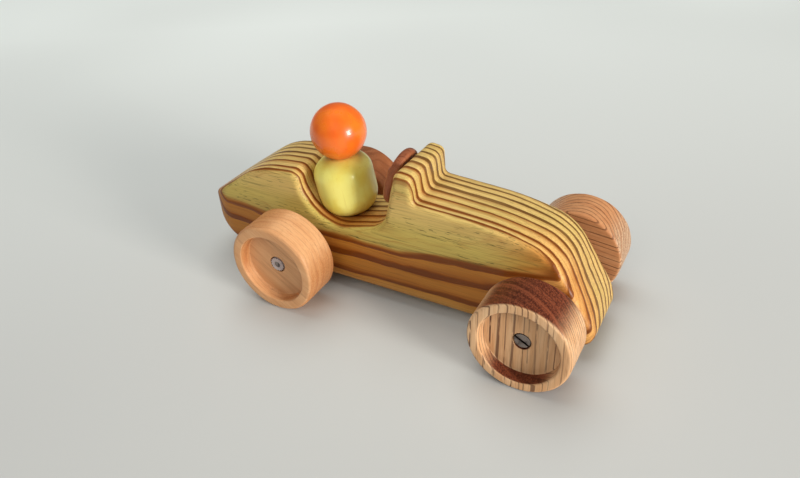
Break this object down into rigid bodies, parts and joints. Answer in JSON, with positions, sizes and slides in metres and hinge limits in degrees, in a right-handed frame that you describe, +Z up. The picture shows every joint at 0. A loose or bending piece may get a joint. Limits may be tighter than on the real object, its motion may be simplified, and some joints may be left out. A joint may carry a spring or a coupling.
{
  "type": "pull back car",
  "caption": "Solid wooden racing car with an open cockpit, ball-headed driver, steering disc, dished wheels and a clockwork pull-back motor on the rear axle.",
  "frame": {"origin": "on the ground under the middle of the car's length and width", "axes": "+X to the nose, +Y to the car's left, +Z up"},
  "size_m": [0.1975, 0.0872, 0.0856],
  "materials": {
    "body_wood": "satin oil over ringed softwood",
    "rear_wheel_wood": "satin oil on fine-grained hardwood",
    "front_wheel_wood": "satin oil on coarse-grained hardwood",
    "steering_wood": "satin oil on reddish hardwood",
    "driver_paint": "yellow satin paint on turned wood",
    "head_paint": "orange gloss paint on a turned ball",
    "dowel_wood": "plain birch dowel",
    "steel": "bright zinc",
    "spring_steel": "blued strip",
    "hub_plastic": "moulded nylon",
    "gear_plastic": "moulded acetal",
    "case_plastic": "moulded styrene",
    "cover_wood": "thin birch plywood"
  },
  "bodies": {
    "chassis": {"body": "body_wood", "driver_body": "driver_paint", "driver_head": "head_paint", "driver_seat_dowel": "dowel_wood", "driver_neck_dowel": "dowel_wood", "steering_peg": "steering_wood", "front_screw_right": "steel", "front_screw_left": "steel", "front_washer_right": "steel", "front_washer_left": "steel", "front_spacer_right": "hub_plastic", "front_spacer_left": "hub_plastic", "motor_case_right": "case_plastic", "motor_case_left": "case_plastic", "motor_case_screws": "steel", "mainspring": "spring_steel", "motor_cover": "cover_wood", "motor_cover_screws": "steel"},
    "rear_axle": {"drive_axle": "steel", "axle_pinion": "steel", "rear_hub_right": "hub_plastic", "rear_hub_left": "hub_plastic", "rear_wheel_right": "rear_wheel_wood", "rear_wheel_left": "rear_wheel_wood", "rear_spacer_right": "hub_plastic", "rear_spacer_left": "hub_plastic"},
    "front_wheel_right": {"front_wheel_right": "front_wheel_wood"},
    "front_wheel_left": {"front_wheel_left": "front_wheel_wood"},
    "steering": {"steering_wheel": "steering_wood"},
    "idler": {"idler_gear": "gear_plastic", "idler_shaft": "steel"},
    "spring_drive": {"spring_gear": "gear_plastic", "spring_arbor": "steel"}
  },
  "joints": [
    {"name": "rear_axle_spin", "type": "hinge", "parent": "chassis", "child": "rear_axle", "pos_m": [-0.0386, 0, 0.02175], "axis": [0, 1, 0], "continuous": true},
    {"name": "front_wheel_right_spin", "type": "hinge", "parent": "chassis", "child": "front_wheel_right", "pos_m": [0.0774, 0, 0.0212], "axis": [0, 1, 0], "continuous": true},
    {"name": "front_wheel_left_spin", "type": "hinge", "parent": "chassis", "child": "front_wheel_left", "pos_m": [0.0774, 0, 0.0212], "axis": [0, 1, 0], "continuous": true},
    {"name": "steering_spin", "type": "hinge", "parent": "chassis", "child": "steering", "pos_m": [0.0057, 0, 0.0574], "axis": [0.9703, 0, -0.2419], "continuous": true},
    {"name": "idler_spin", "type": "hinge", "parent": "chassis", "child": "idler", "pos_m": [-0.04587, 0, 0.02595], "axis": [0, 1, 0], "continuous": true},
    {"name": "spring_spin", "type": "hinge", "parent": "chassis", "child": "spring_drive", "pos_m": [-0.05533, 0, 0.02428], "axis": [0, 1, 0], "continuous": true, "deforming": ["mainspring"]}
  ],
  "couplings": [
    {"joint": "idler_spin", "follows": "rear_axle_spin", "ratio": -0.4},
    {"joint": "spring_spin", "follows": "rear_axle_spin", "ratio": 0.13333}
  ]
}
